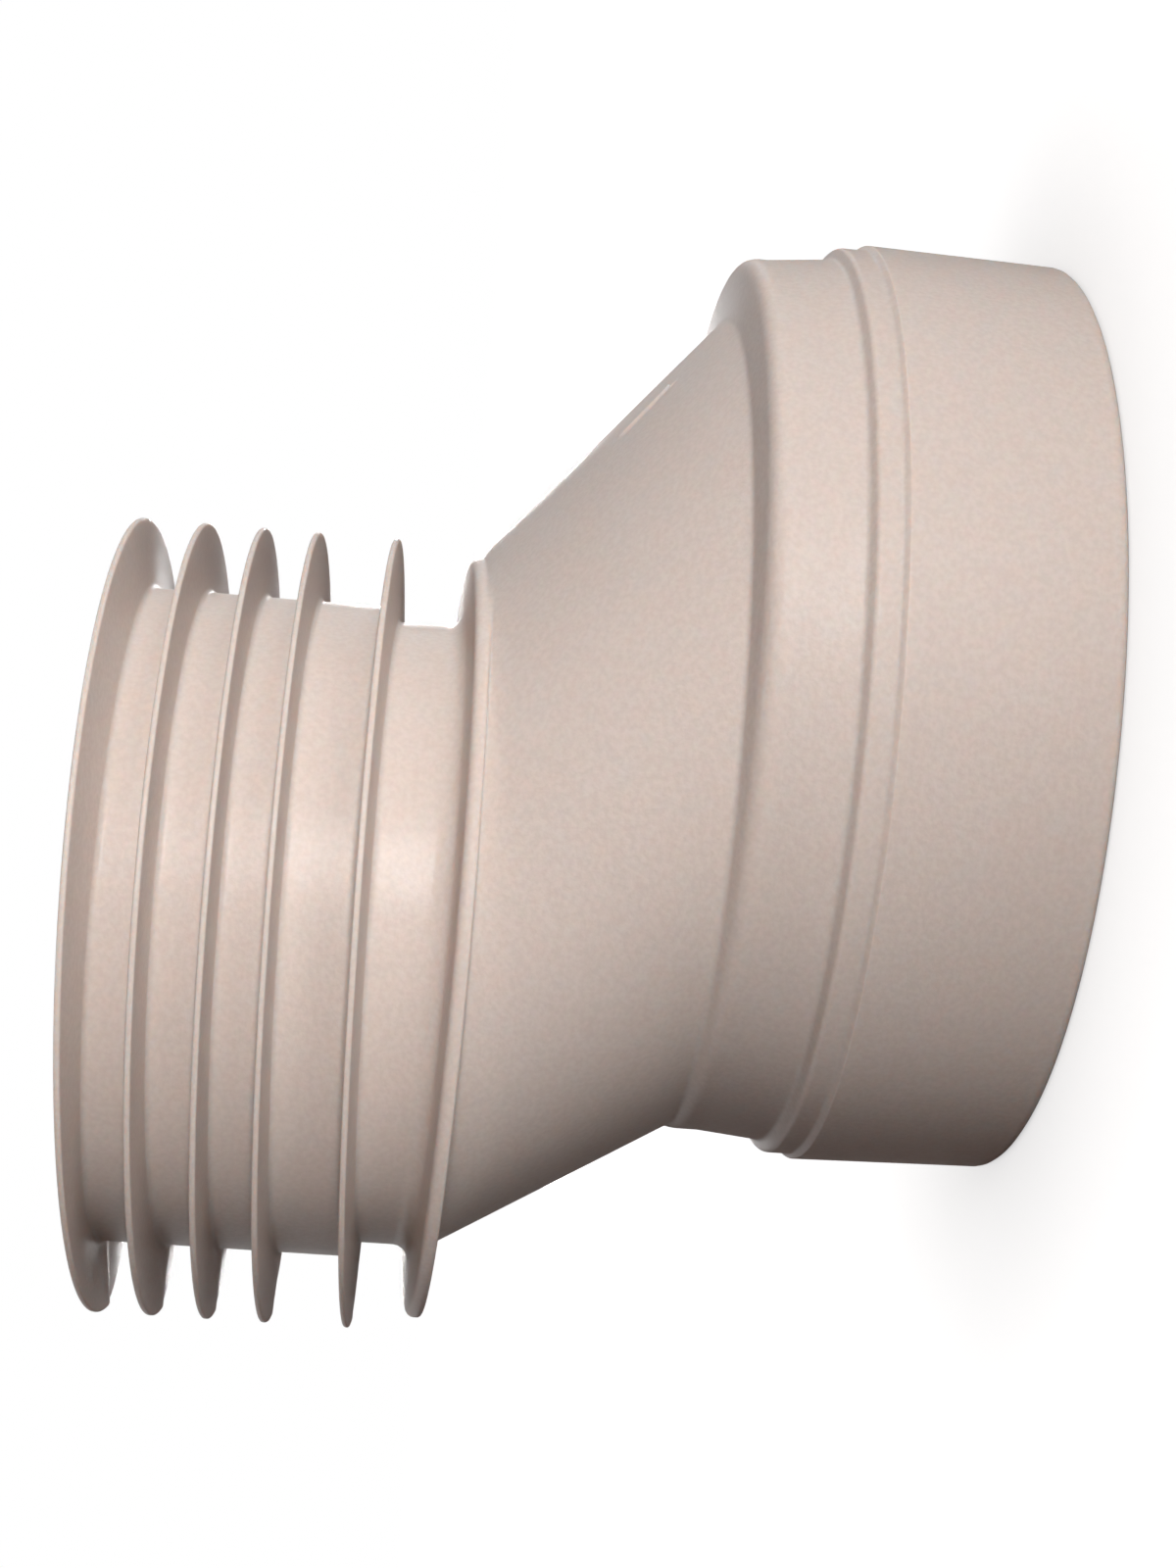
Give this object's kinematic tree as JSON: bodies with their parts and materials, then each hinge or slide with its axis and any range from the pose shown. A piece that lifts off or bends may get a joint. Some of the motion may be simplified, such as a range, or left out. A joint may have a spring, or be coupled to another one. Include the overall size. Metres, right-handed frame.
{
  "type": "toilet pan connector",
  "caption": "Offset toilet pan connector: wide push-on socket for the pan's horn, oblique cone and stop flange, then a spigot with flexible sealing fins that push into a soil pipe.",
  "frame": {"origin": "centre of the inlet mouth's rim, on the socket's axis; the part stands on that rim", "axes": "+Z runs along the flow from the inlet socket to the outlet spigot; -X is the side that the spigot's axis is set over to; the part is symmetrical about the plane Y = 0"},
  "size_m": [0.1618, 0.1336, 0.1286],
  "materials": {
    "soft_plastic": "satin"
  },
  "bodies": {
    "root": {"pan_connector": "soft_plastic"}
  },
  "joints": []
}
